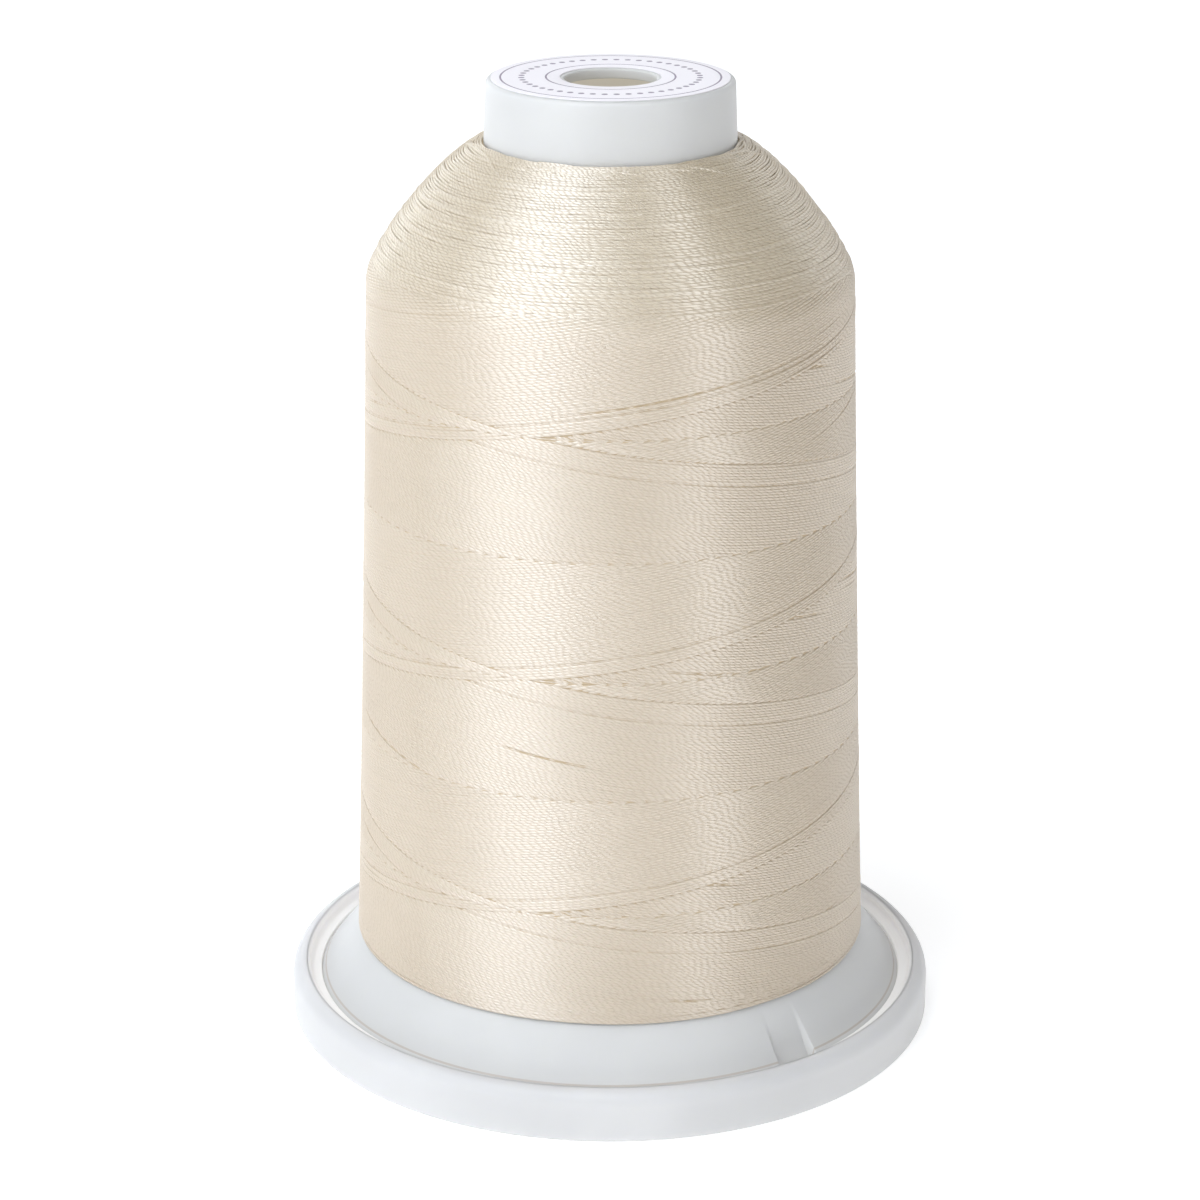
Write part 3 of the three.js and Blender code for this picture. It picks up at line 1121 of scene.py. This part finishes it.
CAMERA_DISTANCE = 397 * MM
CAMERA_HEIGHT = 193 * MM
CAMERA_PITCH = math.radians(19.55)
CAMERA_YAW = math.radians(0.176)
CAMERA_LENS = 105.3
FLOOR_SIZE = 6.0
LIGHT_TARGET = (0, 0, 55 * MM)    # the middle of the cone

# The soft lights: azimuth and elevation in degrees, then distance, width and height in metres,
# power in watts and colour.
COOL = (0.955, 1.0, 1.06)
NEAR_WHITE = (0.985, 1.0, 1.02)
SOFT_LIGHTS = {
    "key": (-41, 30, 0.9, 0.62, 1.5, 5.7, COOL),
    "front_top": (-50, 66, 0.9, 1.15, 0.4, 3.9, COOL),
    "left_panel": (-76, 35, 0.9, 0.35, 0.8, 0.65, COOL),
    "left_back": (-112, 12, 1.0, 0.60, 0.8, 1.15, COOL),
    "far_left": (-150, 12, 1.0, 0.50, 0.8, 1.8, COOL),
    "right_panel": (45, 28, 0.9, 0.34, 1.3, 2.2, NEAR_WHITE),
    "right_back": (135, 12, 1.0, 0.80, 0.8, 1.3, NEAR_WHITE),
    "back": (180, 30, 1.2, 1.00, 0.8, 2.6, NEAR_WHITE),
}


def soft_light(name, azimuth, elevation, distance, width, height, power, colour):
    """A rectangular soft light aimed at the middle of the cone."""
    light = bpy.data.lights.new(name, "AREA")
    light.shape = "RECTANGLE"
    light.size = width
    light.size_y = height
    light.energy = power
    light.color = colour
    lamp = bpy.data.objects.new(name, light)
    bpy.context.scene.collection.objects.link(lamp)
    target = Vector(LIGHT_TARGET)
    azimuth, elevation = math.radians(azimuth), math.radians(elevation)
    level = distance * math.cos(elevation)
    lamp.location = target + Vector(on_axis(level, azimuth, distance * math.sin(elevation)))
    lamp.rotation_euler = (target - lamp.location).to_track_quat("-Z", "Y").to_euler()


def floor_material(stage):
    material, g, shader = new_material("stage_floor")
    set_sockets(g, shader, {
        "Base Color": (*stage.floor_colour, 1),
        "Roughness": 0.8,
        "Emission Color": (1, 1, 1, 1),
        "Emission Strength": stage.floor_glow,
    })
    return material


class CONE_OT_set_stage(bpy.types.Operator):
    """Sets the floor, the lights and the camera"""

    bl_idname = "thread_cone.set_stage"
    bl_label = "Set Stage"

    def execute(self, context):
        scene = context.scene
        stage = scene.cone_stage
        half = FLOOR_SIZE / 2
        mesh = bpy.data.meshes.new("floor")
        corners = [(-half, -half, 0), (half, -half, 0), (half, half, 0), (-half, half, 0)]
        mesh.from_pydata(corners, [], [(0, 1, 2, 3)])
        mesh.materials.append(floor_material(stage))
        floor = bpy.data.objects.new("floor", mesh)
        scene.collection.objects.link(floor)
        world = bpy.data.worlds.new("studio")
        world.use_nodes = True
        background = world.node_tree.nodes["Background"]
        background.inputs["Color"].default_value = (1, 1, 1, 1)
        background.inputs["Strength"].default_value = stage.ambient
        scene.world = world
        for name, (*placing, power, colour) in SOFT_LIGHTS.items():
            soft_light(name, *placing, power * stage.light_scale, colour)
        camera = bpy.data.objects.new("camera", bpy.data.cameras.new("camera"))
        camera.data.lens = CAMERA_LENS
        camera.data.sensor_width = 36
        camera.location = (0, -CAMERA_DISTANCE, CAMERA_HEIGHT)
        camera.rotation_euler = (math.pi / 2 - CAMERA_PITCH, 0, CAMERA_YAW)
        scene.collection.objects.link(camera)
        scene.camera = camera
        scene.view_settings.view_transform = "Standard"
        return {"FINISHED"}


class CONE_PT_panel(bpy.types.Panel):
    """Steps that make the cone, in order"""

    bl_label = "Thread Cone"
    bl_idname = "CONE_PT_panel"
    bl_space_type = "VIEW_3D"
    bl_region_type = "UI"
    bl_category = "Thread Cone"

    def draw(self, context):
        layout = self.layout
        for settings in SETTINGS:
            group = getattr(context.scene, settings)
            for name in group.__annotations__:
                layout.prop(group, name)
        for operator in OPERATORS:
            layout.operator(operator.bl_idname)


SETTINGS = {
    "cone_winding": WindingSettings,
    "cone_thread": ThreadFinish,
    "cone_plastic": PlasticSettings,
    "cone_label": LabelSettings,
    "cone_stage": StageSettings,
}
OPERATORS = (
    CONE_OT_set_stage,
    CONE_OT_mould_ring,
    CONE_OT_mould_core,
    CONE_OT_fill_package,
    CONE_OT_wind_wall,
    CONE_OT_wind_shoulder,
    CONE_OT_stick_label,
)


def register():
    for group in SETTINGS.values():
        bpy.utils.register_class(group)
    for operator in OPERATORS:
        bpy.utils.register_class(operator)
    bpy.utils.register_class(CONE_PT_panel)
    for name, group in SETTINGS.items():
        setattr(bpy.types.Scene, name, bpy.props.PointerProperty(type=group))


def unregister():
    for name in SETTINGS:
        delattr(bpy.types.Scene, name)
    bpy.utils.unregister_class(CONE_PT_panel)
    for operator in reversed(OPERATORS):
        bpy.utils.unregister_class(operator)
    for group in reversed(SETTINGS.values()):
        bpy.utils.unregister_class(group)


def main():
    register()
    bpy.ops.thread_cone.set_stage()
    bpy.ops.thread_cone.mould_ring()
    bpy.ops.thread_cone.mould_core()
    bpy.ops.thread_cone.fill_package()
    bpy.ops.thread_cone.wind_wall()
    bpy.ops.thread_cone.wind_shoulder()
    bpy.ops.thread_cone.stick_label()


if __name__ == "__main__":
    main()
